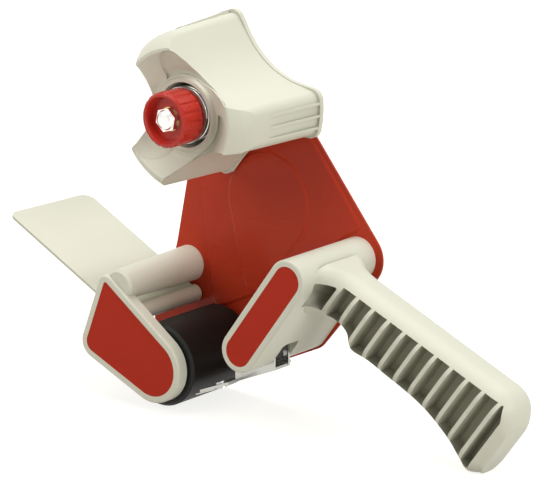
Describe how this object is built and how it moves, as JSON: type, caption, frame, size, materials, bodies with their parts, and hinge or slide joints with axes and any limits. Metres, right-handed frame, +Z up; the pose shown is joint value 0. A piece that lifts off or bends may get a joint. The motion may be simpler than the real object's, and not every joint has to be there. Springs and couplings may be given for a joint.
{
  "type": "packing tape dispenser",
  "caption": "Hand-held packing tape gun: pistol grip, braked tape hub, rubber roller, wiper flap and toothed blade on a pressed side plate.",
  "frame": {"origin": "bottom centre of the whole object, on the surface it stands on", "axes": "+X from the wiper flap towards the butt of the grip, +Y from the open side towards the side plate, +Z up"},
  "size_m": [0.2828, 0.0702, 0.1838],
  "materials": {
    "red_steel": "gloss red paint on pressed steel",
    "white_plastic": "satin off-white moulding",
    "red_plastic": "satin red",
    "black_rubber": "satin black rubber",
    "grey_plastic": "matt",
    "zinc_steel": "bright zinc plate",
    "chrome_steel": "polished",
    "brass": "machined",
    "friction_felt": "pressed fibre"
  },
  "bodies": {
    "frame": {"side_plate": "red_steel", "nose_cap": "white_plastic", "nose_inlay": "red_plastic", "roller_pin": "zinc_steel", "roller_washer_near": "grey_plastic", "roller_washer_far": "grey_plastic", "flap_pin": "zinc_steel", "cutting_blade": "chrome_steel", "blade_bracket": "chrome_steel", "blade_rivets": "zinc_steel", "bracket_screws": "zinc_steel", "handle": "white_plastic", "handle_inlay": "red_plastic", "handle_screws": "zinc_steel", "pillar_screw": "zinc_steel", "friction_disc": "friction_felt", "axle_stud": "zinc_steel", "cap_nut": "chrome_steel"},
    "roller": {"roller_tyre": "black_rubber", "roller_core": "grey_plastic"},
    "flap": {"wiper_flap": "white_plastic"},
    "hub": {"tape_hub": "white_plastic", "hub_bush": "brass", "spring_seat_washer": "zinc_steel"},
    "thrust": {"thrust_washer": "zinc_steel", "brake_spring": "chrome_steel"},
    "knob": {"tension_knob": "red_plastic", "knob_insert": "brass"}
  },
  "joints": [
    {"name": "hub_spin", "type": "hinge", "parent": "frame", "child": "hub", "pos_m": [-0.0293, 0.00135, 0.14388], "axis": [0, 1, 0], "continuous": true},
    {"name": "roller_spin", "type": "hinge", "parent": "frame", "child": "roller", "pos_m": [-0.04859, 0.00735, 0.02178], "axis": [0, 1, 0], "continuous": true},
    {"name": "flap_swing", "type": "hinge", "parent": "frame", "child": "flap", "pos_m": [-0.06539, 0.00755, 0.04368], "axis": [0, 1, 0], "range_deg": [-40, 0]},
    {"name": "brake_press", "type": "slide", "parent": "frame", "child": "thrust", "axis": [0, 1, 0], "range_m": [0, 0.002], "deforming": ["brake_spring"]},
    {"name": "knob_turn", "type": "hinge", "parent": "thrust", "child": "knob", "pos_m": [-0.0293, -0.02765, 0.14388], "axis": [0, 1, 0], "range_deg": [0, 720]}
  ],
  "couplings": [
    {"joint": "knob_turn", "follows": "brake_press", "rad_per_m": 6283}
  ]
}
